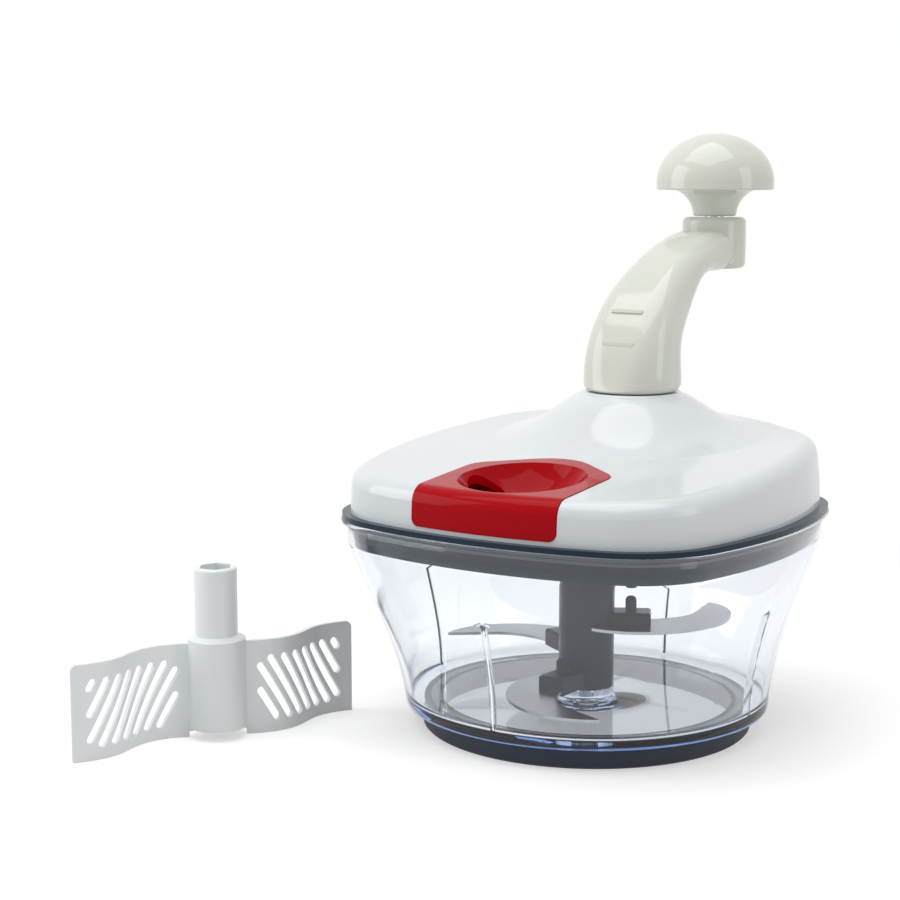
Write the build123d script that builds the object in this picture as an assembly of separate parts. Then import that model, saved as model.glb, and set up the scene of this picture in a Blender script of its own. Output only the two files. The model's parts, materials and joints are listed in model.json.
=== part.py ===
from build123d import *
import math
import os

# Hand cranked food chopper with a clear bowl, a geared lid, three blades and a loose mixing paddle.
# Millimetres. Origin: centre of the bowl on the surface that it stands on. +Z up.
# The lid's filler funnel faces -Y, and the crank shaft stands behind the bowl's axis, towards +Y.

# ---- plan shape shared by the bowl's mouth and the lid ----
rim_half_width = 88.0        # bowl rim, half the width across opposite sides
rim_squareness = 107.0       # how far past the middle the side arcs of the mouth are centred
corner_start = 15.4          # degrees from the middle of a side to where its corner arc starts

# ---- bowl ----
foot_height = 9.0            # underside of the bowl above the standing surface
bowl_floor_thickness = 3.0
bowl_wall = 2.2
base_radius = 73.1           # the bowl is round at its base
low_half_width = 74.4        # the wall's half width at low_height
low_height = 31.0
flare_half_width = 79.8      # the wall's half width at flare_height
flare_height = 54.0
mouth_half_width = 85.4      # outside of the mouth, under the rim
mouth_band = 9.6             # height of the straight band at the mouth, up to the top of the rim
bowl_height = 86.6           # top of the rim
rim_thickness = 1.8
foot_ring_radius = 61.5      # middle of the round foot wall under the bowl
foot_ring_wall = 3.0
foot_wall_depth = 5.5
rib_width = 2.0              # four upright ribs inside the bowl
rib_depth = 2.4
rib_top = 55.0
boss_radius = 11.3           # low boss on the bowl floor that carries the centre pin
boss_height = 3.5
pin_radius = 3.5             # centre pin
pin_standing = 30.0          # height of the pin above its boss
pin_sunk = 5.0
edge_break = 0.8             # small bevel on moulded and turned edges
non_slip_outer = 66.0
non_slip_inner = 58.0

# ---- clearances ----
running = 0.05               # radial play of a shaft in its bush
slide_fit = 0.35             # play beside parts that lift out
end_play = 0.2               # axial play of turning parts
hex_play = 0.3               # each side, between a hexagonal drive and its socket
seal_fit = 0.2               # between the lid's seal and the bowl's mouth
fixed_fit = 0.05             # between pieces that are assembled for good
thrust_gap = 0.1             # between the crank's foot and its bush

# ---- lid base ----
flange_half_width = 87.6
flange_thickness = 2.0
skirt_depth = 10.3
skirt_wall = 2.4
seal_height = 2.4
seal_groove_depth = 1.2
seal_drop = 1.2              # from the flange down to the top of the seal
sleeve_drop = 3.0            # collar around the drive shaft, under the flange
screw_boss_wall = 1.6        # around each screw head

# ---- lid cover ----
cover_half_width = 84.2      # at its lower edge
cover_mid_half_width = 83.4
cover_mid_rise = 15.0
cover_top_half_width = 79.5
cover_top_rise = 36.0
cover_wall = 2.5
cover_rise = 22.4            # sloping top above the cover's lower edge, over the bowl's axis
top_slope = 0.078            # rise towards +Y
top_crown = 0.3
shoulder_radius = 6.5
back_rise = 8.0              # rounded edge behind the bell, above the sloping top
crank_offset = 36.0          # crank shaft from the bowl's axis, equal to the gear pair's centre distance
neck_radius = 20.5           # top of the bell under the crank
neck_rise = 20.2             # top of the bell above the sloping top
neck_edge = 0.6              # bevel at the top of the neck
# outwards from neck_radius, down from the neck's top, and share of the sloping top's tilt
bell_stations = (
    (0.0, 0.6, 0.0),
    (4.5, 2.6, 0.05),
    (15.5, 9.8, 0.35),
    (23.5, 13.8, 0.7),
    (35.5, 17.2, 1.0),
    (51.5, 20.4, 1.0),
)
bell_skirt = 10.0            # straight part under the bell's flare
post_radius = 4.2            # screw posts under the cover
post_x = 60.0
post_front_y = -46.0
post_back_y = 50.0
screw_radius = 1.5
screw_length = 12.0
screw_head_radius = 3.1
screw_head_height = 1.9
screw_key = 2.6              # hexagonal recess in a screw's head, across flats
screw_key_depth = 1.1
screw_end_gap = 0.5          # left at the bottom of a screw hole

# ---- filler funnel ----
funnel_middle = 1.6          # along X
funnel_half_width = 30.9
funnel_eave_y = -39.0        # where the straight sides end
funnel_apex_y = -15.5
funnel_apex_round = 20.0
funnel_eave_round = 10.0
funnel_low_round = 3.0       # lower corners of the funnel's front
funnel_fit = 0.25            # gap all round the funnel in the lid
funnel_proud = 0.3           # the funnel stands this far above the cover
funnel_wall = 2.0
funnel_skin = 2.1            # under the cover's line
strip_height = 1.6           # strip of cover below the funnel, and the thickness of the bay floor
bay_wall = 1.8
dish_radius = 24.3
dish_middle_y = -54.5
dish_depth = 14.0
outlet_radius = 9.0
outlet_offset = (-14.5, 2.0)  # of the outlet and the drain from the dish's middle, along X and Y
drain_radius = 5.0           # hole under the outlet, through the lid's floor

# ---- gears ----
gear_module = 1.2
crank_teeth = 45
pinion_teeth = 15
pressure_angle = 20.0
addendum = 0.9               # in modules
dedendum = 1.25              # in modules
backlash = 0.25              # tooth thinning at the pitch circle
gear_thickness = 7.0
gear_lift = 3.6              # crank gear's underside above the lid's floor
pinion_drop = 0.5            # the pinion reaches this far past the gear, below and above
gear_hub_radius = 9.0
web_depth = 2.2
web_margin = 4.0             # rim left under the teeth
web_start = 1.5              # beyond the hub
washer_radius = 7.0
washer_thickness = 1.0
gear_screw_length = 9.5

# ---- crank ----
spindle_radius = 5.0
spindle_hex = 8.0            # across flats, through the gear
head_hex = 9.4               # across flats, inside the arm
head_hex_length = 17.0
head_hex_lead = 1.0          # round part of the spindle inside the arm
bush_wall = 2.3
bush_flange = 2.2            # flange beyond the bush's body
bush_flange_thickness = 1.0
bush_boss_wall = 3.2
upper_boss_drop = 27.0       # crank bush, from the neck's top down
arm_gap = 0.3                # between the neck and the crank's foot
crank_throw = 75.0
arm_foot_radius = 19.8
tip_radius = 13.9            # upright cylinder at the crank's end
arm_rise = 47.0              # lower end of the upright cylinder above the crank's foot
tip_length = 22.5
foot_round = 2.5             # rounding of the foot's lower edge
knob_pin_radius = 4.0
knob_pin_sunk = 19.0
knob_gap = 0.4
# share of the throw, share of the rise, lean in degrees, half width, half thickness, corner radius
arm_stations = (
    (0.005, 0.22, 3, 19.3, 16.5, 14.0),
    (0.050, 0.48, 20, 18.2, 13.5, 11.0),
    (0.165, 0.695, 42, 16.5, 12.0, 9.0),
    (0.350, 0.925, 62, 14.8, 9.8, 8.0),
    (0.615, 1.13, 74, 13.6, 7.8, 7.0),
    (0.900, 1.19, 84, 12.6, 8.0, 7.0),
)
tip_edge = 2.6
ridge_length = 14.0
ridge_width = 1.4
ridge_height = 0.5
ridge_root = 3.0             # part of a ridge inside the arm
# share of the throw, share of the rise, lean in degrees, half thickness of the arm there
ridge_stations = ((0.025, 0.36, 11, 14.9), (0.085, 0.57, 27, 13.0))

# ---- knob ----
knob_neck_radius = 9.5
knob_rim_radius = 25.7
knob_neck_rise = 11.3        # from the knob's lower end to its rim
knob_rim_rise = 3.3          # upright rim, up to where the knob is widest
knob_dome_rise = 21.2
knob_flare = ((0.0, 0.5), (0.9, 4.5), (4.2, 9.0))  # beyond knob_neck_radius, above its lower end
round_pull = 0.5523          # pull of the control points that makes a cubic curve an ellipse's quarter
knob_hub_wall = 2.5
knob_bush_wall = 2.0
knob_wall = 2.6
knob_bush_length = 20.0
knob_pin_end = 4.0           # pin above its bush, for the clip
clip_thickness = 0.8
clip_radius = 6.6
clip_mouth = 3.0
clip_groove = 1.0

# ---- drive shaft ----
drive_hex = 11.0             # across flats
drive_hex_length = 15.4
drive_journal = 6.5
top_journal = 3.0
top_journal_length = 6.0
pinion_seat_radius = 5.5
collar_radius = 8.6
pinion_shoulder = 1.0        # between the pinion and the top journal
top_bush_wall = 1.5
top_bush_lift = 1.2          # bush above the pinion

# ---- blade insert ----
tube_radius = 11.1
tube_bore = 4.3
socket_depth = 17.0
shaft_bush_length = 14.0
pin_headroom = 3.0           # bore beyond the end of the centre pin
blade_thickness = 1.2
blade_heights = (18.0, 27.5, 40.5)
blade_turns = (267.0, 147.0, 27.0)
# outline of a blade that points along +X: the back from root to tip, then the cutting edge
blade_back = ((2.5, -12.6), (20.0, -17.4), (46.5, -6.5), (58.0, 15.5), (51.5, 38.5))
blade_edge = ((51.5, 38.5), (47.2, 26.0), (41.0, 13.5), (29.3, 6.2))
blade_notch = 22.0           # where the cutting edge meets the straight root
root_width = 8.8
root_gap = 1.4               # from the shaft to the root's end
carrier_reach = 26.0
carrier_root = 2.0           # part of a carrier inside the shaft
carrier_width = 11.0
carrier_below = 1.2
carrier_height = 7.0
peg_radius = 2.3
peg_height = 6.0
peg_place = 17.8

# ---- mixing paddle ----
paddle_place = (-111.0, -98.8)
paddle_turn = 68.7
paddle_height = 37.8
paddle_hub_radius = 11.4
paddle_hub_low = 4.0
paddle_neck_radius = 8.4
paddle_neck_low = 41.0
paddle_neck_round = 1.0
paddle_top = 68.0
paddle_socket = 16.0
paddle_wing = 2.2
paddle_reach = 62.3          # from the hub's axis to a wing's end
# middle line of a wing that runs along +X from the hub
paddle_curve = ((9.0, -3.6), (16.8, -7.2), (26.7, -7.9), (36.0, -4.4), (44.8, 0.4), (53.1, 1.5))
paddle_shoulder = 1.5        # height of the hub's cone
paddle_relief = 1.5          # between the hub's end and the bridge of the wings under it
paddle_corner = 2.6          # rounding of a wing's upper outer corner
paddle_margin = 4.6          # solid border under the slots
slot_head_margin = 6.0
slot_end_margin = 5.2
slot_width = 3.2
slot_pitch = 5.8
slot_lean = 0.58             # sideways run of a slot for each millimetre of height
slot_count = 10
slot_first = -2.3            # where the first slot's line meets the wing's upper edge
slot_near_margin = 2.4       # from the hub to the nearest slot

# ---- heights and radii that follow ----
floor_top = foot_height + bowl_floor_thickness
mouth_height = bowl_height - mouth_band
boss_top = floor_top + boss_height
mouth_inner = mouth_half_width - bowl_wall
lid_floor = bowl_height + flange_thickness
top_plane_height = lid_floor + cover_rise
neck_height = top_plane_height + neck_rise
skirt_low = bowl_height - skirt_depth
skirt_half_width = mouth_inner - slide_fit
gear_low = lid_floor + gear_lift
gear_top = gear_low + gear_thickness
pinion_low = gear_low - pinion_drop
pinion_top = gear_top + pinion_drop
upper_boss_low = neck_height - upper_boss_drop
gear_hub_top = upper_boss_low - end_play
crank_bush_radius = spindle_radius + running + bush_wall
arm_low = neck_height + arm_gap
tip_y = crank_offset + crank_throw
tip_low = arm_low + arm_rise
tip_high = tip_low + tip_length
knob_low = tip_high + knob_gap
knob_rim_height = knob_low + knob_neck_rise
knob_waist_height = knob_rim_height + knob_rim_rise
knob_top = knob_waist_height + knob_dome_rise
knob_bush_radius = knob_pin_radius + running + knob_bush_wall
knob_bush_top = knob_low + knob_bush_length
drive_bush_radius = drive_journal + running + bush_wall
sleeve_low = bowl_height - sleeve_drop
tube_top = sleeve_low - end_play
tube_low = boss_top + end_play
shaft_bush_radius = pin_radius + running + bush_wall
top_bush_low = pinion_top + top_bush_lift
top_bush_radius = top_journal + running + top_bush_wall
bay_floor_top = lid_floor + strip_height
above_all = knob_top


def ring(outer, inner, low, high):
    """Upright tube between two heights."""
    tube = Cylinder(outer, high - low) - Cylinder(inner, high - low)
    return Pos(0, 0, (low + high) / 2) * tube


def disc(radius, low, high):
    """Upright cylinder between two heights."""
    return Pos(0, 0, (low + high) / 2) * Cylinder(radius, high - low)


def hexagon(across_flats, low, high):
    """Upright hexagonal bar between two heights."""
    face = RegularPolygon(across_flats / 2, 6, major_radius=False)
    return Pos(0, 0, low) * extrude(face, high - low)


def turned(points):
    """Solid turned about Z from (radius, height) points of a closed outline."""
    return revolve(Plane.XZ * make_face(Polyline(*points, close=True)), Axis.Z)


def rounded_plan(half_width, squareness, height=0.0):
    """Face with four bowed sides and four corner arcs, all tangent."""
    turn = math.radians(corner_start)
    side_radius = half_width + squareness
    spread = math.cos(turn) - math.sin(turn)
    corner_radius = side_radius - squareness / spread
    corner_middle = squareness * math.sin(turn) / spread
    edges = []
    for quarter in range(4):
        side = CenterArc((-squareness, 0), side_radius, -corner_start, 2 * corner_start)
        corner = CenterArc((corner_middle, corner_middle), corner_radius, corner_start, 90 - 2 * corner_start)
        place = Pos(0, 0, height) * Rot(0, 0, 90 * quarter)
        edges += [place * side.edge(), place * corner.edge()]
    return Face(Wire(edges))


def plan_block(half_width, low, high):
    """Straight block on the mouth's plan shape."""
    return extrude(rounded_plan(half_width, rim_squareness, low), high - low)


def bowl_shape(inset):
    """Outside of the bowl's wall, moved inwards, from its underside to its mouth."""
    def share(height):
        return rim_squareness * (height - foot_height) / (mouth_height - foot_height)

    stations = (
        (foot_height, base_radius),
        (low_height, low_half_width),
        (flare_height, flare_half_width),
        (mouth_height, mouth_half_width),
    )
    return loft([rounded_plan(half - inset, share(height), height) for height, half in stations])


def make_bowl():
    """Clear bowl: flared wall, rim, floor, ribs, pin boss and foot wall."""
    outside = bowl_shape(0)
    inside = bowl_shape(bowl_wall)
    rim_low = bowl_height - rim_thickness
    wall = outside - inside
    mouth = plan_block(mouth_half_width, mouth_height, rim_low) - plan_block(mouth_inner, mouth_height, rim_low)
    rim = plan_block(rim_half_width, rim_low, bowl_height) - plan_block(mouth_inner, rim_low, bowl_height)
    floor_plate = outside & disc(rim_half_width, foot_height, floor_top)
    rib_band = inside - bowl_shape(bowl_wall + rib_depth)
    bowl = wall + mouth + rim + floor_plate
    blank = extrude(Rectangle(rib_width, rib_top - floor_top), rim_half_width)
    blank = fillet(blank.edges().filter_by(Axis.Z).sort_by(Axis.Y)[-2:], 0.45 * rib_width)
    for quarter in range(4):
        rib = Rot(0, 0, 90 * quarter) * Pos(0, 0, (rib_top + floor_top) / 2) * Rot(90, 0, 0) * blank
        bowl += rib_band & rib
    bowl += disc(boss_radius, floor_top, boss_top)
    bowl += ring(
        foot_ring_radius + foot_ring_wall / 2,
        foot_ring_radius - foot_ring_wall / 2,
        foot_height - foot_wall_depth,
        foot_height,
    )
    return bowl - disc(pin_radius, boss_top - pin_sunk, boss_top)


def make_non_slip_ring():
    """Rubber ring under the bowl, gripping the foot wall."""
    body = turned([
        (non_slip_inner, 0),
        (non_slip_outer, 0),
        (non_slip_outer, foot_height),
        (non_slip_inner, foot_height),
    ])
    body = chamfer(body.edges().group_by(Axis.Z)[0], edge_break)
    groove = ring(
        foot_ring_radius + foot_ring_wall / 2,
        foot_ring_radius - foot_ring_wall / 2,
        foot_height - foot_wall_depth,
        foot_height,
    )
    return body - groove


def make_centre_pin():
    """Steel pin that the blades or the paddle turn on."""
    pin = disc(pin_radius, boss_top - pin_sunk, boss_top + pin_standing)
    return fillet(pin.edges().group_by(Axis.Z)[-1], pin_radius * 0.6)


def screw_places():
    """Plan positions of the four lid screws."""
    return [(side * post_x, y) for side in (-1, 1) for y in (post_front_y, post_back_y)]


def outlet_place():
    """Where liquid runs out of the funnel's dish and down through the lid."""
    return Pos(funnel_middle + outlet_offset[0], dish_middle_y + outlet_offset[1], 0)


def make_lid_base():
    """Tray that closes the bowl: flange, skirt with seal groove, and drive collar."""
    tray = plan_block(flange_half_width, bowl_height, lid_floor)
    skirt = plan_block(skirt_half_width, skirt_low, bowl_height)
    skirt -= plan_block(skirt_half_width - skirt_wall, skirt_low, bowl_height)
    groove_top = bowl_height - seal_drop
    groove = plan_block(rim_half_width, groove_top - seal_height, groove_top)
    groove -= plan_block(skirt_half_width - seal_groove_depth, groove_top - seal_height, groove_top)
    tray += skirt - groove
    tray += disc(drive_bush_radius + bush_boss_wall, sleeve_low, bowl_height)
    tray -= disc(drive_bush_radius, sleeve_low, lid_floor)
    for x, y in screw_places():
        tray += Pos(x, y, 0) * disc(screw_head_radius + screw_boss_wall, bowl_height - screw_head_height, bowl_height)
        tray -= Pos(x, y, 0) * disc(screw_radius, bowl_height - screw_head_height, lid_floor)
        tray -= Pos(x, y, 0) * disc(screw_head_radius, bowl_height - screw_head_height, bowl_height)
    return tray - outlet_place() * disc(drain_radius, bowl_height, lid_floor)


def make_lid_seal():
    """Soft ring in the skirt's groove."""
    top = bowl_height - seal_drop
    seal = plan_block(mouth_inner - seal_fit, top - seal_height, top)
    return seal - plan_block(skirt_half_width - seal_groove_depth, top - seal_height, top)


def crowned_top(offset):
    """Everything under the sloping, slightly domed top of the lid."""
    ball_radius = cover_half_width ** 2 / (2 * top_crown)
    tilt = math.degrees(math.atan(top_slope))
    place = Pos(0, 0, top_plane_height + top_crown + offset) * Rot(tilt, 0, 0)
    dome = place * Pos(0, 0, -ball_radius) * Sphere(ball_radius)
    return dome & disc(2 * cover_half_width, lid_floor, neck_height)


def bell(offset):
    """Trumpet-shaped neck under the crank, whose flare tilts into the sloping top."""
    tilt = math.degrees(math.atan(top_slope))
    top = neck_height + offset
    radius = neck_radius + offset
    sections = []
    for out, down, share in bell_stations:
        sections.append(Pos(0, 0, top - down) * Rot(share * tilt, 0, 0) * Circle(radius + out))
    neck = Pos(0, 0, top - neck_edge / 2) * Cone(radius, radius - neck_edge, neck_edge)
    skirt = extrude(sections[-1], -bell_skirt)
    return Pos(0, crank_offset, 0) * (loft(sections) + neck + skirt)


def lid_walls(offset):
    """Sides of the lid cover, drawn in slightly towards the top."""
    stations = (
        (lid_floor, cover_half_width),
        (lid_floor + cover_mid_rise, cover_mid_half_width),
        (lid_floor + cover_top_rise, cover_top_half_width),
    )
    lower = loft([rounded_plan(half + offset, rim_squareness, height) for height, half in stations])
    return lower + plan_block(cover_top_half_width + offset, lid_floor + cover_top_rise, above_all)


def lid_shape(offset):
    """Lid cover as a full solid, with every surface moved out by the offset."""
    walls = lid_walls(offset)
    body = walls & crowned_top(offset)
    body = fillet([edge for edge in body.edges() if is_shoulder(edge)], shoulder_radius + offset)
    middle = plan_block(cover_top_half_width - shoulder_radius + offset, lid_floor, above_all)
    limit = middle + Pos(0, 0, back_rise) * body
    return body + (bell(offset) & walls & limit)


def is_shoulder(edge):
    """True for the edges where the lid's sides meet its top."""
    middle = edge.position_at(0.5)
    reach = math.hypot(middle.X, middle.Y)
    outside = reach > cover_top_half_width - shoulder_radius
    return outside and middle.Z > lid_floor + cover_mid_rise / 2 and edge_on_side(edge)


def edge_on_side(edge):
    """True for an edge that runs around the lid rather than up it."""
    start = edge.position_at(0)
    end = edge.position_at(1)
    return abs(start.Z - end.Z) < 0.5 * edge.length


def funnel_plan(growth):
    """Plan outline of the filler funnel, moved outwards: straight sides and a rounded gable."""
    half = funnel_half_width + growth
    slope = (funnel_apex_y - funnel_eave_y) / funnel_half_width
    apex_y = funnel_apex_y + growth * math.hypot(1, slope)
    eave_y = apex_y - slope * half
    front = -rim_half_width - funnel_half_width
    corners = [(-half, front), (-half, eave_y), (0, apex_y), (half, eave_y), (half, front)]
    face = make_face(Polyline(*corners, close=True))
    apex = [vertex for vertex in face.vertices() if abs(vertex.Y - apex_y) < 0.01]
    face = fillet(apex, funnel_apex_round + growth)
    eaves = [vertex for vertex in face.vertices() if abs(vertex.Y - eave_y) < 0.01]
    return Pos(funnel_middle, 0, 0) * fillet(eaves, funnel_eave_round + growth)


def funnel_block(growth, low, high):
    """Upright block on the funnel's plan outline, with rounded lower corners."""
    block = Pos(0, 0, low) * extrude(funnel_plan(growth), high - low)
    front = RectangleRounded(2 * (funnel_half_width + growth), 2 * (high - low), funnel_low_round + growth)
    return block & (Pos(funnel_middle, 0, high) * extrude(Plane.XZ * front, 2 * rim_half_width, both=True))


def make_lid_cover():
    """White cover: shell, funnel bay, gear bosses and screw posts."""
    outside = lid_shape(0)
    cavity = lid_shape(-cover_wall) & disc(2 * cover_half_width, lid_floor, neck_height)
    shell = outside - cavity
    bay = funnel_block(funnel_fit + bay_wall, lid_floor, neck_height) & outside
    posts = Part()
    for x, y in screw_places():
        posts += Pos(x, y, 0) * disc(post_radius, lid_floor, neck_height)
    crank_boss = disc(crank_bush_radius + bush_boss_wall, upper_boss_low, neck_height)
    posts += Pos(0, crank_offset, 0) * crank_boss
    posts += disc(top_bush_radius + bush_boss_wall, top_bush_low, neck_height)
    cover = shell + (posts & outside) + bay
    cover -= funnel_block(funnel_fit, bay_floor_top, above_all)
    for x, y in screw_places():
        cover -= Pos(x, y, 0) * disc(screw_radius, lid_floor, lid_floor + screw_length)
    crank = Pos(0, crank_offset, 0)
    cover -= crank * disc(crank_bush_radius, upper_boss_low, neck_height)
    cover -= crank * disc(crank_bush_radius + bush_flange, neck_height - bush_flange_thickness, above_all)
    cover -= disc(top_bush_radius, top_bush_low, top_bush_low + top_journal_length + screw_end_gap)
    return cover - outlet_place() * disc(drain_radius, lid_floor, bay_floor_top)


def dish_ball(growth):
    """Ball whose lower side is the funnel's dish, made larger all round."""
    radius = (dish_radius ** 2 + dish_depth ** 2) / (2 * dish_depth)
    rim = top_plane_height + top_slope * dish_middle_y
    return Pos(funnel_middle, dish_middle_y, rim - dish_depth + radius) * Sphere(radius + growth)


def make_filler_funnel():
    """Lift-out funnel: skin over the lid's front, dish, outlet and skirt."""
    skin = lid_shape(funnel_proud) & funnel_block(0, bay_floor_top, above_all)
    hollow = lid_shape(-funnel_skin) & funnel_block(-funnel_wall, bay_floor_top, above_all)
    funnel = skin - hollow
    funnel += dish_ball(funnel_wall) & skin
    funnel -= dish_ball(0)
    return funnel - outlet_place() * disc(outlet_radius, bay_floor_top, top_plane_height)


def tooth_half_angle(radius, teeth):
    """Half the angle that an involute tooth takes up at a radius, in radians."""
    pitch = gear_module * teeth / 2
    base = pitch * math.cos(math.radians(pressure_angle))

    def involute(cosine):
        angle = math.acos(min(1.0, cosine))
        return math.tan(angle) - angle

    at_pitch = math.pi / (2 * teeth) - backlash / (2 * pitch)
    return at_pitch + involute(base / pitch) - involute(base / max(radius, base))


def gear_face(teeth, first_tooth):
    """Outline of a spur gear with one tooth pointing at the angle first_tooth, in degrees."""
    pitch = gear_module * teeth / 2
    root = pitch - dedendum * gear_module
    tip = pitch + addendum * gear_module
    base = pitch * math.cos(math.radians(pressure_angle))
    radii = (root, max(base, root + gear_module / 6), pitch, tip)
    points = []
    for tooth in range(teeth):
        middle = math.radians(first_tooth + 360 * tooth / teeth)
        rising = [(radius, middle - tooth_half_angle(radius, teeth)) for radius in radii]
        falling = [(radius, middle + tooth_half_angle(radius, teeth)) for radius in reversed(radii)]
        for radius, angle in rising + falling:
            points.append((radius * math.cos(angle), radius * math.sin(angle)))
    return make_face(Polyline(*points, close=True))


def make_crank_gear():
    """Large gear on the crank's spindle, with a thinned web and a hub."""
    gear = Pos(0, 0, gear_low) * extrude(gear_face(crank_teeth, -90), gear_thickness)
    root = gear_module * (crank_teeth / 2 - dedendum)
    gear -= ring(root - web_margin, gear_hub_radius + web_start, gear_top - web_depth, gear_top)
    gear += disc(gear_hub_radius, gear_top, gear_hub_top)
    gear -= hexagon(spindle_hex, gear_low, gear_hub_top)
    return Pos(0, crank_offset, 0) * gear


def make_pinion_gear():
    """Small gear on the drive shaft."""
    face = gear_face(pinion_teeth, 90 + 180 / pinion_teeth)
    gear = Pos(0, 0, pinion_low) * extrude(face, pinion_top - pinion_low)
    return gear - hexagon(pinion_seat_radius * math.sqrt(3), pinion_low, pinion_top)


def make_crank_spindle():
    """Steel spindle: hexagon for the gear, journal, and hexagon inside the arm."""
    head_low = arm_low + head_hex_lead
    hole = gear_screw_length - washer_thickness + screw_end_gap
    spindle = hexagon(spindle_hex, gear_low, gear_hub_top)
    spindle += disc(spindle_radius, gear_hub_top, head_low)
    spindle += hexagon(head_hex, head_low, head_low + head_hex_length)
    spindle -= disc(screw_radius, gear_low, gear_low + hole)
    return Pos(0, crank_offset, 0) * spindle


def make_gear_washer():
    """Washer under the crank gear."""
    washer = ring(washer_radius, screw_radius, gear_low - washer_thickness, gear_low)
    return Pos(0, crank_offset, 0) * washer


def headed_screw(seat, length):
    """Screw that points up: its head ends at the seat and its shank starts there."""
    screw = disc(screw_head_radius, seat - screw_head_height, seat)
    screw -= hexagon(screw_key, seat - screw_head_height, seat - screw_head_height + screw_key_depth)
    return screw + disc(screw_radius, seat, seat + length)


def make_gear_screw():
    """Screw that holds the gear on the spindle."""
    return Pos(0, crank_offset, 0) * headed_screw(gear_low - washer_thickness, gear_screw_length)


def make_crank_bush():
    """Flanged bush in the cover's neck."""
    bush = disc(crank_bush_radius, upper_boss_low, neck_height)
    flange_low = neck_height - bush_flange_thickness
    bush += disc(crank_bush_radius + bush_flange, flange_low, arm_low - thrust_gap)
    bush -= disc(spindle_radius + running, upper_boss_low, arm_low)
    return Pos(0, crank_offset, 0) * bush


def make_drive_bush():
    """Flanged bush for the drive shaft in the lid's floor."""
    bush = disc(drive_bush_radius, sleeve_low, lid_floor)
    bush += disc(drive_bush_radius + bush_flange, lid_floor, lid_floor + bush_flange_thickness)
    return bush - disc(drive_journal + running, sleeve_low, lid_floor + bush_flange_thickness)


def make_top_bush():
    """Small bush that steadies the drive shaft's upper end."""
    return ring(top_bush_radius, top_journal + running, top_bush_low, top_bush_low + top_journal_length)


def make_drive_shaft():
    """Steel shaft: hexagonal stub, journal, collar, pinion seat and top journal."""
    collar_low = lid_floor + bush_flange_thickness + end_play
    shaft = hexagon(drive_hex, sleeve_low - drive_hex_length, sleeve_low)
    shaft = chamfer(shaft.faces().sort_by(Axis.Z)[0].edges(), edge_break)
    shaft += disc(drive_journal, sleeve_low, collar_low)
    shaft += disc(collar_radius, collar_low, pinion_low)
    shaft += hexagon(pinion_seat_radius * math.sqrt(3), pinion_low, pinion_top)
    shoulder_top = pinion_top + pinion_shoulder
    shaft += disc((pinion_seat_radius + top_journal) / 2, pinion_top, shoulder_top)
    return shaft + disc(top_journal, shoulder_top, top_bush_low + top_journal_length)


def arm_section(y, height, lean, half_x, half_y, corner):
    """Rounded cross-section of the crank arm, leaning towards +Y."""
    place = Pos(0, y, height) * Rot(-lean, 0, 0)
    return place * RectangleRounded(2 * half_x, 2 * half_y, corner)


def foot_corner():
    """What the rounding of the crank's lower edge takes away."""
    inner = arm_foot_radius - foot_round
    outer = arm_foot_radius + foot_round
    low = arm_low - foot_round
    top = arm_low + foot_round
    lines = [
        CenterArc((inner, top), foot_round, -90, 90),
        Line((arm_foot_radius, top), (outer, top)),
        Line((outer, top), (outer, low)),
        Line((outer, low), (inner, low)),
        Line((inner, low), (inner, arm_low)),
    ]
    return revolve(Plane.XZ * make_face(lines), Axis.Z)


def make_crank_arm():
    """Swan-necked arm from the round foot to the upright cylinder under the knob."""
    rise = tip_low - arm_low
    sections = [arm_section(crank_offset, arm_low, 0, arm_foot_radius, arm_foot_radius, 0.98 * arm_foot_radius)]
    for along, up, lean, half_x, half_y, corner in arm_stations:
        y = crank_offset + along * crank_throw
        sections.append(arm_section(y, arm_low + up * rise, lean, half_x, half_y, corner))
    arm = loft(sections) - Pos(0, crank_offset, 0) * foot_corner()
    tip = Pos(0, tip_y, 0) * disc(tip_radius, tip_low, tip_high)
    arm += fillet(tip.edges().filter_by(GeomType.CIRCLE), tip_edge)
    for along, up, lean, half_y in ridge_stations:
        place = Pos(0, crank_offset + along * crank_throw, arm_low + up * rise) * Rot(-lean, 0, 0)
        depth = ridge_height + ridge_root
        arm += place * Pos(0, depth / 2 - ridge_height - half_y, 0) * Box(ridge_length, depth, ridge_width)
    head_low = arm_low + head_hex_lead
    arm -= Pos(0, crank_offset, 0) * disc(spindle_radius, arm_low, head_low)
    arm -= Pos(0, crank_offset, 0) * hexagon(head_hex, head_low, head_low + head_hex_length)
    return arm - Pos(0, tip_y, 0) * disc(knob_pin_radius, tip_high - knob_pin_sunk, tip_high)


def make_knob_pin():
    """Steel pin in the arm's end that the knob turns on."""
    top = knob_bush_top + knob_pin_end
    pin = disc(knob_pin_radius, tip_high - knob_pin_sunk, top)
    groove_low = knob_bush_top + end_play
    pin -= ring(knob_pin_radius, knob_pin_radius - clip_groove, groove_low, groove_low + clip_thickness)
    return Pos(0, tip_y, 0) * pin


def make_knob_clip():
    """Retaining clip in the knob pin's groove."""
    groove_low = knob_bush_top + end_play
    clip = ring(clip_radius, knob_pin_radius - clip_groove, groove_low, groove_low + clip_thickness)
    gap = Pos(0, clip_radius, groove_low + clip_thickness / 2) * Box(clip_mouth, clip_radius, clip_radius)
    return Pos(0, tip_y, 0) * (clip - gap)


def make_knob_bush():
    """Bush inside the knob."""
    return Pos(0, tip_y, 0) * ring(knob_bush_radius, knob_pin_radius + running, knob_low, knob_bush_top)


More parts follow.
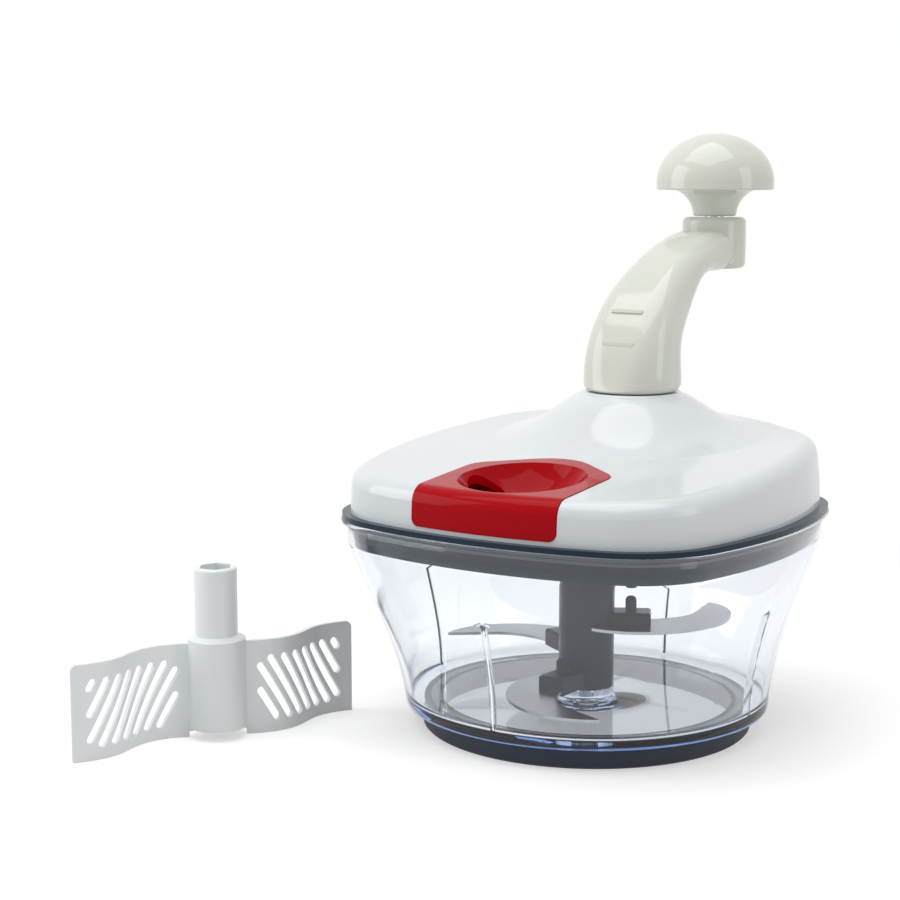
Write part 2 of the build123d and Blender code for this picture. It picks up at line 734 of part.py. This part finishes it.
def make_knob_neck():
    """Flared neck of the knob with the disc that closes the dome."""
    inner = knob_rim_radius - knob_wall - fixed_fit
    hub = knob_bush_radius + knob_hub_wall
    disc_top = knob_waist_height - fixed_fit
    points = [(knob_neck_radius + out, knob_low + up) for out, up in knob_flare]
    flare = Spline(*points, (inner, knob_rim_height))
    foot = (knob_neck_radius - knob_flare[0][1], knob_low)
    lines = [
        Line((knob_bush_radius, knob_low), foot),
        Line(foot, flare @ 0),
        flare,
        Line(flare @ 1, (inner, disc_top)),
        Line((inner, disc_top), (hub, disc_top)),
        Line((hub, disc_top), (hub, knob_bush_top)),
        Line((hub, knob_bush_top), (knob_bush_radius, knob_bush_top)),
        Line((knob_bush_radius, knob_bush_top), (knob_bush_radius, knob_low)),
    ]
    return Pos(0, tip_y, 0) * revolve(Plane.XZ * make_face(lines), Axis.Z)


def dome(inset):
    """Knob's dome as a full solid, moved inwards: an upright rim under half an ellipsoid."""
    radius = knob_rim_radius - inset
    top = knob_top - inset
    shoulder = knob_waist_height + round_pull * (top - knob_waist_height)
    curve = Bezier((radius, knob_waist_height), (radius, shoulder), (round_pull * radius, top), (0, top))
    lines = [
        Line((0, knob_rim_height), (radius, knob_rim_height)),
        Line((radius, knob_rim_height), (radius, knob_waist_height)),
        curve,
        Line((0, top), (0, knob_rim_height)),
    ]
    return revolve(Plane.XZ * make_face(lines), Axis.Z)


def make_knob_cap():
    """Domed shell of the knob, with a softened lower edge."""
    cap = dome(0) - dome(knob_wall)
    rim = cap.edges().group_by(Axis.Z)[0].sort_by(SortBy.LENGTH)[-1]
    return Pos(0, tip_y, 0) * fillet(rim, edge_break)


def blade_face():
    """Flat outline of one blade, its root pointing along +X from the shaft."""
    back = Spline(*blade_back)
    edge = Spline(*blade_edge, (blade_notch, root_width / 2))
    root = tube_radius + root_gap
    lines = [
        back,
        edge,
        Line(edge @ 1, (root, root_width / 2)),
        Line((root, root_width / 2), (root, -root_width / 2)),
        Line((root, -root_width / 2), back @ 0),
    ]
    return make_face(lines)


def make_blade(level):
    """One steel blade in place."""
    plate = extrude(blade_face(), blade_thickness)
    plate -= Pos(peg_place, 0, blade_thickness / 2) * Cylinder(peg_radius, 2 * blade_thickness)
    plate -= Pos(0, 0, blade_thickness / 2) * Cylinder(tube_radius, 2 * blade_thickness)
    return Rot(0, 0, blade_turns[level]) * Pos(0, 0, blade_heights[level]) * plate


def carrier(level):
    """Block on the shaft that holds one blade, with the blade's slot and peg hole."""
    low = blade_heights[level] - carrier_below
    length = carrier_reach - tube_radius + carrier_root
    block = Pos(carrier_reach - length / 2, 0, low + carrier_height / 2) * Box(length, carrier_width, carrier_height)
    block = chamfer(block.edges().group_by(Axis.Z)[-1], edge_break)
    peg_hole = Pos(peg_place, 0, 0) * disc(peg_radius, low, low + carrier_height)
    slot = Pos(0, 0, blade_heights[level]) * extrude(blade_face(), blade_thickness)
    return Rot(0, 0, blade_turns[level]) * (block - peg_hole - slot)


def make_blade_pegs():
    """Three round-topped pegs that lock the blades in their carriers."""
    pegs = Part()
    for level in range(len(blade_heights)):
        low = blade_heights[level] - carrier_below
        peg = disc(peg_radius, low, low + carrier_height + peg_height)
        peg = fillet(peg.edges().group_by(Axis.Z)[-1], peg_radius * 0.8)
        pegs += Rot(0, 0, blade_turns[level]) * Pos(peg_place, 0, 0) * peg
    return pegs


def make_blade_shaft():
    """Moulded shaft with three blade carriers, a bore for the pin and a drive socket."""
    shaft = disc(tube_radius, tube_low, tube_top)
    shaft = chamfer(shaft.edges().group_by(Axis.Z)[-1], edge_break)
    for level in range(len(blade_heights)):
        shaft += carrier(level)
    shaft -= disc(shaft_bush_radius, tube_low, tube_low + shaft_bush_length)
    shaft -= disc(tube_bore, tube_low, boss_top + pin_standing + pin_headroom)
    return shaft - hexagon(drive_hex + 2 * hex_play, tube_top - socket_depth, tube_top)


def make_shaft_bush():
    """Bush in the shaft's lower end, running on the centre pin."""
    return ring(shaft_bush_radius, pin_radius + running, tube_low, tube_low + shaft_bush_length)


def paddle_wing_face():
    """Plan of one curved wing, along +X from the paddle's hub."""
    return trace(Spline(*paddle_curve, (paddle_reach, 0)), paddle_wing)


def wing_slots():
    """Slanted slots through one wing, cut short by the wing's frame."""
    low = paddle_margin + slot_width / 2
    high = paddle_height - slot_head_margin - slot_width / 2
    near = paddle_hub_radius + slot_near_margin + slot_width / 2
    far = paddle_reach - slot_end_margin - slot_width / 2
    slots = Part()
    for number in range(slot_count):
        top_x = slot_first + slot_pitch * number
        foot = max(low, paddle_height - (far - top_x) / slot_lean)
        head = min(high, paddle_height - (near - top_x) / slot_lean)
        rise = head - foot
        if rise < slot_width / 2:
            continue
        middle = (foot + head) / 2
        length = rise * math.hypot(1, slot_lean)
        turn = 90 + math.degrees(math.atan(slot_lean))
        face = Rot(0, 0, turn) * SlotCenterToCenter(length, slot_width)
        place = Pos(top_x + slot_lean * (paddle_height - middle), middle)
        slots += extrude(Plane.XZ * place * face, paddle_hub_radius, both=True)
    return slots


def make_mixing_paddle():
    """Loose paddle with a socketed hub and two slotted, S-curved wings."""
    hub = turned([
        (0, paddle_hub_low),
        (paddle_hub_radius, paddle_hub_low),
        (paddle_hub_radius, paddle_neck_low - paddle_shoulder),
        (paddle_neck_radius, paddle_neck_low),
        (paddle_neck_radius, paddle_top),
        (0, paddle_top),
    ])
    hub = fillet(hub.edges().group_by(Axis.Z)[-1], paddle_neck_round)
    wing = extrude(paddle_wing_face(), paddle_height)
    corner = wing.edges().group_by(Axis.Z)[-1].sort_by(Axis.X)[-1]
    wing = fillet(corner, paddle_corner) - wing_slots()
    wing -= disc(paddle_hub_radius, 0, paddle_hub_low - paddle_relief)
    paddle = hub + wing + Rot(0, 0, 180) * wing
    paddle -= disc(tube_bore, paddle_hub_low, paddle_hub_low + pin_standing + pin_headroom)
    paddle -= hexagon(drive_hex + 2 * hex_play, paddle_top - paddle_socket, paddle_top)
    return Pos(*paddle_place, 0) * Rot(0, 0, paddle_turn) * paddle


def make_lid_screws():
    """Four screws up through the lid's floor into the cover's posts."""
    screws = Part()
    for x, y in screw_places():
        screws += Pos(x, y, 0) * headed_screw(bowl_height, flange_thickness + screw_length - screw_end_gap)
    return screws


def main():
    os.makedirs("parts", exist_ok=True)
    nodes = {
        "bowl": make_bowl(),
        "non_slip_ring": make_non_slip_ring(),
        "centre_pin": make_centre_pin(),
        "lid_base": make_lid_base(),
        "lid_seal": make_lid_seal(),
        "lid_cover": make_lid_cover(),
        "lid_screws": make_lid_screws(),
        "crank_bush": make_crank_bush(),
        "drive_bush": make_drive_bush(),
        "top_bush": make_top_bush(),
        "filler_funnel": make_filler_funnel(),
        "crank_arm": make_crank_arm(),
        "crank_spindle": make_crank_spindle(),
        "crank_gear": make_crank_gear(),
        "gear_washer": make_gear_washer(),
        "gear_screw": make_gear_screw(),
        "knob_pin": make_knob_pin(),
        "knob_clip": make_knob_clip(),
        "knob_bush": make_knob_bush(),
        "knob_neck": make_knob_neck(),
        "knob_cap": make_knob_cap(),
        "drive_shaft": make_drive_shaft(),
        "pinion_gear": make_pinion_gear(),
        "blade_shaft": make_blade_shaft(),
        "shaft_bush": make_shaft_bush(),
        "blade_pegs": make_blade_pegs(),
        "blade_lower": make_blade(0),
        "blade_middle": make_blade(1),
        "blade_upper": make_blade(2),
        "mixing_paddle": make_mixing_paddle(),
    }
    for name, shape in nodes.items():
        export_step(shape, f"parts/{name}.step")
        print(name, round(shape.volume), len(shape.solids()))


main()
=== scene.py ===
import bpy
import json
import math
from mathutils import Matrix, Vector


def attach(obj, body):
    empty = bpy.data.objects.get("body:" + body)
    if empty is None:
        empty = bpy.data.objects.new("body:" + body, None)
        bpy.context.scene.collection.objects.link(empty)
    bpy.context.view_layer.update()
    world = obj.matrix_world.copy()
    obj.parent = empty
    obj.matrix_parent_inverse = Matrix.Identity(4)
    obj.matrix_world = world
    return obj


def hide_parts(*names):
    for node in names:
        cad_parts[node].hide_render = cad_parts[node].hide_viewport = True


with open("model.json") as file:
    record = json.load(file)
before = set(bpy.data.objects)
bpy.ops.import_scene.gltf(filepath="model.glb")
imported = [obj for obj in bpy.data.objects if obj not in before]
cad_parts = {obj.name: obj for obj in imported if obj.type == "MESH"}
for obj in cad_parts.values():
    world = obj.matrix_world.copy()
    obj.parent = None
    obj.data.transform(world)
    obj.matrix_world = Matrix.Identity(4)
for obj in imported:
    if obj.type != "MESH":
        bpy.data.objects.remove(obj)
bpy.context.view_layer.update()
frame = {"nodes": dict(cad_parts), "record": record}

# Hand cranked food chopper. Metres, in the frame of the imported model: origin at the bowl's centre on
# the surface that it stands on, +Z up, the filler funnel towards -Y and the crank's knob towards +Y.

MM = 0.001

# ---- camera: the photograph's angle ----
camera_place = Vector((0.3680, -0.6585, 0.2225))
camera_heading = math.radians(33.4)
camera_pitch = math.radians(8.44)
camera_lens = 76.27
camera_sensor = 36.0


# ---- node helpers for materials ----
def new_material(name):
    """Material with an empty node tree but for its output and a principled shader."""
    material = bpy.data.materials.new(name)
    material.use_nodes = True
    tree = material.node_tree
    tree.nodes.clear()
    output = tree.nodes.new("ShaderNodeOutputMaterial")
    shader = tree.nodes.new("ShaderNodeBsdfPrincipled")
    tree.links.new(shader.outputs["BSDF"], output.inputs["Surface"])
    return material, tree, shader


def set_sockets(shader, **values):
    """Sets named sockets, with _ in place of a space."""
    for name, value in values.items():
        shader.inputs[name.replace("_", " ")].default_value = value


def noise(tree, scale, detail=3.0, roughness=0.5, stretch=(1, 1, 1)):
    """Noise over the object's own coordinates, in metres."""
    place = tree.nodes.new("ShaderNodeTexCoord")
    mapping = tree.nodes.new("ShaderNodeMapping")
    mapping.inputs["Scale"].default_value = stretch
    texture = tree.nodes.new("ShaderNodeTexNoise")
    texture.inputs["Scale"].default_value = scale
    texture.inputs["Detail"].default_value = detail
    texture.inputs["Roughness"].default_value = roughness
    tree.links.new(place.outputs["Object"], mapping.inputs["Vector"])
    tree.links.new(mapping.outputs["Vector"], texture.inputs["Vector"])
    return texture.outputs["Fac"]


def spread(tree, value, low, high):
    """Maps a 0 to 1 value onto a range."""
    node = tree.nodes.new("ShaderNodeMapRange")
    node.inputs["To Min"].default_value = low
    node.inputs["To Max"].default_value = high
    tree.links.new(value, node.inputs["Value"])
    return node.outputs["Result"]


def tint(tree, value, dark, light):
    """Mixes two colours by a 0 to 1 value."""
    node = tree.nodes.new("ShaderNodeMix")
    node.data_type = "RGBA"
    node.inputs["A"].default_value = (*dark, 1)
    node.inputs["B"].default_value = (*light, 1)
    tree.links.new(value, node.inputs["Factor"])
    return node.outputs["Result"]


def bump(tree, shader, height, strength, distance):
    """Raises the surface by a height value."""
    node = tree.nodes.new("ShaderNodeBump")
    node.inputs["Strength"].default_value = strength
    node.inputs["Distance"].default_value = distance
    tree.links.new(height, node.inputs["Height"])
    tree.links.new(node.outputs["Normal"], shader.inputs["Normal"])


def shade(colour, amount):
    """A colour made darker or lighter by a factor."""
    return tuple(min(1.0, channel * amount) for channel in colour)


# ---- materials: noise scales count marks per metre, bump heights are metres ----
drift_scale = 22.0
haze_scale = 70.0
ripple_scale = 40.0
ripple_height = 0.0004
plastic_refraction = 1.5
clear_drift_scale = 15.0
clear_ripple_scale = 25.0
clear_ripple_strength = 0.015
clear_ripple_height = 0.0003
clear_refraction = 1.49
clear_specular = 0.2
grain_height = 0.0001
rubber_grain_scale = 900.0
rubber_roughness = (0.45, 0.62)


def moulded_plastic(name, colour, gloss, variation=0.02, ripple=0.02, specular=0.5):
    """Injection moulded plastic: faint colour drift, fine haze and a slight moulding ripple."""
    material, tree, shader = new_material(name)
    drift = noise(tree, drift_scale, 2.0)
    tree.links.new(
        tint(tree, drift, shade(colour, 1 - variation), shade(colour, 1 + variation)),
        shader.inputs["Base Color"],
    )
    haze = noise(tree, haze_scale, 2.0, 0.5)
    tree.links.new(spread(tree, haze, gloss * 0.85, gloss * 1.15), shader.inputs["Roughness"])
    bump(tree, shader, noise(tree, ripple_scale, 1.0), ripple, ripple_height)
    set_sockets(shader, IOR=plastic_refraction, Specular_IOR_Level=specular)
    return material


def clear_plastic(name, colour, depth_tint, density):
    """Clear polished plastic that takes on a tint where light runs a long way inside it."""
    material, tree, shader = new_material(name)
    drift = noise(tree, clear_drift_scale, 2.0)
    tree.links.new(tint(tree, drift, shade(colour, 0.995), colour), shader.inputs["Base Color"])
    ripple = noise(tree, clear_ripple_scale, 1.0)
    bump(tree, shader, ripple, clear_ripple_strength, clear_ripple_height)
    set_sockets(shader, IOR=clear_refraction, Roughness=0.0)
    set_sockets(shader, Transmission_Weight=1.0, Specular_IOR_Level=clear_specular)
    inside = tree.nodes.new("ShaderNodeVolumeAbsorption")
    inside.inputs["Color"].default_value = (*depth_tint, 1)
    inside.inputs["Density"].default_value = density
    tree.links.new(inside.outputs["Volume"], tree.nodes["Material Output"].inputs["Volume"])
    return material


def steel(name, colour, roughness, grain_scale, stretch):
    """Brushed or turned steel with a directional grain."""
    material, tree, shader = new_material(name)
    grain = noise(tree, grain_scale, 4.0, 0.65, stretch)
    worn = tint(tree, grain, shade(colour, 0.96), shade(colour, 1.03))
    tree.links.new(worn, shader.inputs["Base Color"])
    tree.links.new(spread(tree, grain, roughness * 0.85, roughness * 1.15), shader.inputs["Roughness"])
    bump(tree, shader, grain, 0.02, grain_height)
    set_sockets(shader, Metallic=1.0, Anisotropic=0.4)
    return material


def rubber(name, colour):
    """Matt rubber with a fine grain."""
    material, tree, shader = new_material(name)
    grain = noise(tree, rubber_grain_scale, 3.0, 0.6)
    mottled = tint(tree, grain, shade(colour, 0.85), shade(colour, 1.15))
    tree.links.new(mottled, shader.inputs["Base Color"])
    tree.links.new(spread(tree, grain, *rubber_roughness), shader.inputs["Roughness"])
    bump(tree, shader, grain, 0.15, grain_height)
    return material


MATERIALS = {
    "clear_plastic": clear_plastic("clear_plastic", (0.95, 0.96, 0.975), (0.50, 0.68, 0.93), 24.0),
    "white_plastic": moulded_plastic("white_plastic", (0.70, 0.735, 0.76), 0.13, 0.006),
    "cream_plastic": moulded_plastic("cream_plastic", (0.68, 0.70, 0.62), 0.08, 0.008, 0.01),
    "red_plastic": moulded_plastic("red_plastic", (0.42, 0.0, 0.005), 0.06, 0.02, 0.01, 0.08),
    "slate_plastic": moulded_plastic("slate_plastic", (0.014, 0.030, 0.050), 0.24, 0.04, 0.01, 0.15),
    "pale_plastic": moulded_plastic("pale_plastic", (0.84, 0.87, 0.88), 0.3, 0.01),
    "gear_plastic": moulded_plastic("gear_plastic", (0.70, 0.68, 0.60), 0.38, 0.02, 0.02),
    "bush_plastic": moulded_plastic("bush_plastic", (0.05, 0.05, 0.06), 0.35, 0.04, 0.02),
    "seal_rubber": rubber("seal_rubber", (0.12, 0.14, 0.16)),
    "foot_rubber": rubber("foot_rubber", (0.010, 0.016, 0.034)),
    "blade_steel": steel("blade_steel", (0.44, 0.45, 0.47), 0.24, 900.0, (1.0, 0.1, 1.0)),
    "shaft_steel": steel("shaft_steel", (0.55, 0.56, 0.58), 0.22, 520.0, (1.0, 1.0, 0.15)),
}


def dress_nodes():
    """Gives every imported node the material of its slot."""
    slots = {row["node"]: row["material_slot"] for row in frame["record"]["subparts"]}
    for name, node in frame["nodes"].items():
        node.data.materials.clear()
        node.data.materials.append(MATERIALS[slots[name]])


# ---- bowl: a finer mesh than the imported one, so that it bends light without facets ----
corner_start = math.radians(15.4)
rim_squareness = 107.0
wall = 2.2
wall_stations = ((9.0, 73.1), (31.0, 74.4), (54.0, 79.8), (77.0, 85.4))
rib_half_width = 1.0
rib_depth = 2.4
rib_top = 55.0
rib_fade = 1.6
# rim: half width and height of its outline, from the inside over the top to the outside
rim_outline = (
    (83.2, 80), (83.2, 83), (83.2, 86.1), (83.35, 86.45), (83.7, 86.6),
    (87.5, 86.6), (87.8, 86.45), (87.95, 86.1), (87.95, 85.3), (87.8, 84.95),
    (87.5, 84.8), (85.8, 84.8), (85.4, 84.4), (85.4, 80),
)
floor_height = 12.0
floor_round = 3.0
ring_step = 1.8
side_steps = 20
corner_steps = 14


def wall_half_width(height):
    """Half width of the bowl's outside, from the cubic curve through its stations."""
    height = min(height, wall_stations[-1][0])
    total = 0.0
    for here, half in wall_stations:
        share = half
        for there, _ in wall_stations:
            if there != here:
                share *= (height - there) / (here - there)
        total += share
    return total


def wall_squareness(height):
    """How far past the middle the side arcs are centred at a height."""
    low, high = wall_stations[0][0], wall_stations[-1][0]
    return rim_squareness * min(1.0, max(0.0, (height - low) / (high - low)))


def quarter_columns():
    """Places around a quarter of the plan: kind, share and whether the place is on a rib."""
    rib_places = (-1.0, -0.8, -0.4, 0.0, 0.4, 0.8, 1.0)
    rib = [("rib", across, 1.0 - abs(across) ** 4) for across in rib_places]
    shares = [0.1 + 0.9 * step / side_steps for step in range(side_steps + 1)]
    left = [("side", -share, 0.0) for share in reversed(shares)]
    right = [("side", share, 0.0) for share in shares]
    corner = [("corner", step / corner_steps, 0.0) for step in range(1, corner_steps)]
    return left + rib + right + corner


def plan_point(column, half, square):
    """Point of the rounded square, in a quarter that faces +X."""
    kind, share, _ = column
    radius = half + square
    if kind == "rib":
        across = rib_half_width * share
        return math.sqrt(radius ** 2 - across ** 2) - square, across
    if kind == "side":
        angle = share * corner_start
        return radius * math.cos(angle) - square, radius * math.sin(angle)
    part = math.cos(corner_start) - math.sin(corner_start)
    corner_radius = radius - square / part
    middle = square * math.sin(corner_start) / part
    angle = corner_start + share * (math.pi / 2 - 2 * corner_start)
    return middle + corner_radius * math.cos(angle), middle + corner_radius * math.sin(angle)


def bowl_rings():
    """Rings of the bowl's surface: half width, squareness, height and rib depth, inside first."""
    rings = [(3.5, 0, 10.5, 0), (3.5, 0, 15.3, 0), (3.7, 0, 15.5, 0), (10.9, 0, 15.5, 0)]
    rings += [(11.3, 0, 15.1, 0), (11.3, 0, 12.5, 0), (11.8, 0, floor_height, 0)]
    rings += [(half, 0, floor_height, 0) for half in (30, 50, 64)]
    for step in range(7):
        turn = math.pi / 2 * step / 6
        height = floor_height + floor_round * (1 - math.cos(turn))
        half = wall_half_width(height) - wall - floor_round * (1 - math.sin(turn))
        rings.append((half, wall_squareness(height), height, rib_depth if step > 3 else 0))
    heights = [16 + ring_step * step for step in range(21)] + [53.4, 54.2, 54.7, 54.95, 55.1]
    heights += [56.5 + ring_step * step for step in range(12)] + [77.0]
    for height in heights:
        fade = math.sqrt(max(0.0, min(1.0, (rib_top - height) / rib_fade)))
        half = wall_half_width(height) - wall
        rings.append((half, wall_squareness(height), height, rib_depth * fade))
    rings += [(half, rim_squareness, height, 0) for half, height in rim_outline]
    for step in range(37):
        height = 77.0 - ring_step * step
        rings.append((wall_half_width(height), wall_squareness(height), height, 0))
    rings += [(73.1, 0.8, 10.4, 0), (72.8, 0, 9.5, 0), (72.3, 0, 9.0, 0), (66.0, 0, 9.0, 0)]
    rings += [(62.95, 0, 8.95, 0), (62.95, 0, 3.6, 0), (60.05, 0, 3.6, 0), (60.05, 0, 8.95, 0)]
    rings += [(50, 0, 9, 0), (25, 0, 9, 0)]
    return rings


def make_clear_bowl():
    """One closed skin for the bowl, with its ribs, boss, rim and foot wall."""
    columns = quarter_columns()
    around = 4 * len(columns)
    points = [(0, 0, 10.5 * MM)]
    for half, square, height, depth in bowl_rings():
        for quarter in range(4):
            turn = quarter * math.pi / 2
            for column in columns:
                x, y = plan_point(column, half, square)
                x -= depth * column[2]
                points.append((
                    (x * math.cos(turn) - y * math.sin(turn)) * MM,
                    (x * math.sin(turn) + y * math.cos(turn)) * MM,
                    height * MM,
                ))
    rows = (len(points) - 1) // around
    points.append((0, 0, 9 * MM))
    faces = []
    for step in range(around):
        following = (step + 1) % around
        faces.append((0, 1 + step, 1 + following))
        for row in range(rows - 1):
            here = 1 + row * around
            above = here + around
            faces.append((here + step, above + step, above + following, here + following))
        last = 1 + (rows - 1) * around
        faces.append((last + step, len(points) - 1, last + following))
    mesh = bpy.data.meshes.new("clear_bowl")
    mesh.from_pydata(points, [], faces)
    mesh.polygons.foreach_set("use_smooth", [True] * len(mesh.polygons))
    mesh.set_sharp_from_angle(angle=math.radians(50))
    mesh.materials.append(MATERIALS["clear_plastic"])
    bowl = bpy.data.objects.new("clear_bowl", mesh)
    bpy.context.scene.collection.objects.link(bowl)
    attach(bowl, "base")
    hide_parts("bowl")


# ---- stage ----
floor_half_width = 6.0
floor_grey = 0.72
floor_glow = 0.45
fade_near = 0.12
fade_far = 0.42
surround_light = 0.42
surround_seen = 1.0


def make_floor():
    """Wide pale floor that keeps the shadow and shows white to the camera."""
    mesh = bpy.data.meshes.new("floor")
    half = floor_half_width
    corners = [(-half, -half, 0), (half, -half, 0), (half, half, 0), (-half, half, 0)]
    mesh.from_pydata(corners, [], [(0, 1, 2, 3)])
    floor = bpy.data.objects.new("floor", mesh)
    bpy.context.scene.collection.objects.link(floor)
    material = bpy.data.materials.new("floor_paper")
    material.use_nodes = True
    tree = material.node_tree
    tree.nodes.clear()
    output = tree.nodes.new("ShaderNodeOutputMaterial")
    paper = tree.nodes.new("ShaderNodeBsdfDiffuse")
    paper.inputs["Color"].default_value = (floor_grey, floor_grey, floor_grey, 1)
    glow = tree.nodes.new("ShaderNodeEmission")
    both = tree.nodes.new("ShaderNodeAddShader")
    seen = seen_rays(tree)
    tree.links.new(spread(tree, seen, 0.0, floor_glow), glow.inputs["Strength"])
    tree.links.new(paper.outputs["BSDF"], both.inputs[0])
    tree.links.new(glow.outputs["Emission"], both.inputs[1])
    white = tree.nodes.new("ShaderNodeEmission")
    fading = tree.nodes.new("ShaderNodeMixShader")
    tree.links.new(far_share(tree, seen), fading.inputs["Fac"])
    tree.links.new(both.outputs["Shader"], fading.inputs[1])
    tree.links.new(white.outputs["Emission"], fading.inputs[2])
    tree.links.new(fading.outputs["Shader"], output.inputs["Surface"])
    mesh.materials.append(material)


def far_share(tree, seen):
    """0 near the floor's middle, rising to 1 far from it, for seen rays alone."""
    place = tree.nodes.new("ShaderNodeTexCoord")
    reach = tree.nodes.new("ShaderNodeVectorMath")
    reach.operation = "LENGTH"
    tree.links.new(place.outputs["Object"], reach.inputs[0])
    fade = tree.nodes.new("ShaderNodeMapRange")
    fade.interpolation_type = "SMOOTHSTEP"
    fade.inputs["From Min"].default_value = fade_near
    fade.inputs["From Max"].default_value = fade_far
    tree.links.new(reach.outputs["Value"], fade.inputs["Value"])
    share = tree.nodes.new("ShaderNodeMath")
    share.operation = "MULTIPLY"
    tree.links.new(fade.outputs["Result"], share.inputs[0])
    tree.links.new(seen, share.inputs[1])
    return share.outputs["Value"]


def seen_rays(tree):
    """1 for rays that show the background: from the camera, in gloss and through clear plastic."""
    path = tree.nodes.new("ShaderNodeLightPath")
    total = path.outputs["Is Camera Ray"]
    for kind in ("Is Glossy Ray", "Is Transmission Ray"):
        larger = tree.nodes.new("ShaderNodeMath")
        larger.operation = "MAXIMUM"
        tree.links.new(total, larger.inputs[0])
        tree.links.new(path.outputs[kind], larger.inputs[1])
        total = larger.outputs["Value"]
    return total


def make_world():
    """White surround for what the camera sees, and a dimmer one that lights the object."""
    world = bpy.data.worlds.new("studio")
    bpy.context.scene.world = world
    world.use_nodes = True
    tree = world.node_tree
    background = tree.nodes["Background"]
    background.inputs["Color"].default_value = (1, 1, 1, 1)
    strength = spread(tree, seen_rays(tree), surround_light, surround_seen)
    tree.links.new(strength, background.inputs["Strength"])


def soft_box(name, place, target, size, power):
    """Square area lamp that points at a place."""
    lamp = bpy.data.lights.new(name, "AREA")
    lamp.shape = "RECTANGLE"
    lamp.size, lamp.size_y = size
    lamp.energy = power
    holder = bpy.data.objects.new(name, lamp)
    holder.location = place
    holder.rotation_euler = (Vector(target) - Vector(place)).to_track_quat("-Z", "Y").to_euler()
    bpy.context.scene.collection.objects.link(holder)


def make_lights():
    """Soft studio light: a large box overhead, one on the left and a weak one on the right."""
    middle = (0, 0, 0.1)
    soft_box("top_box", (-0.1, -0.2, 1.5), middle, (1.4, 1.4), 13.0)
    soft_box("left_box", (-1.3, -0.9, 0.7), middle, (1.0, 1.2), 9.0)
    soft_box("right_box", (1.5, 0.1, 0.6), middle, (0.6, 1.2), 4.0)


def make_camera():
    """Camera at the photograph's place and angle."""
    data = bpy.data.cameras.new("camera")
    data.lens = camera_lens
    data.sensor_width = camera_sensor
    data.clip_start = 0.01
    data.clip_end = 50.0
    camera = bpy.data.objects.new("camera", data)
    level = Vector((-math.sin(camera_heading), math.cos(camera_heading), 0))
    ahead = level * math.cos(camera_pitch) - Vector((0, 0, math.sin(camera_pitch)))
    right = Vector((math.cos(camera_heading), math.sin(camera_heading), 0))
    above = right.cross(ahead)
    turn = Matrix((right, above, -ahead)).transposed().to_4x4()
    camera.matrix_world = Matrix.Translation(camera_place) @ turn
    bpy.context.scene.collection.objects.link(camera)
    bpy.context.scene.camera = camera


dress_nodes()
make_clear_bowl()
make_floor()
make_world()
make_lights()
make_camera()
bpy.context.scene.view_settings.view_transform = "Standard"

bpy.context.view_layer.update()
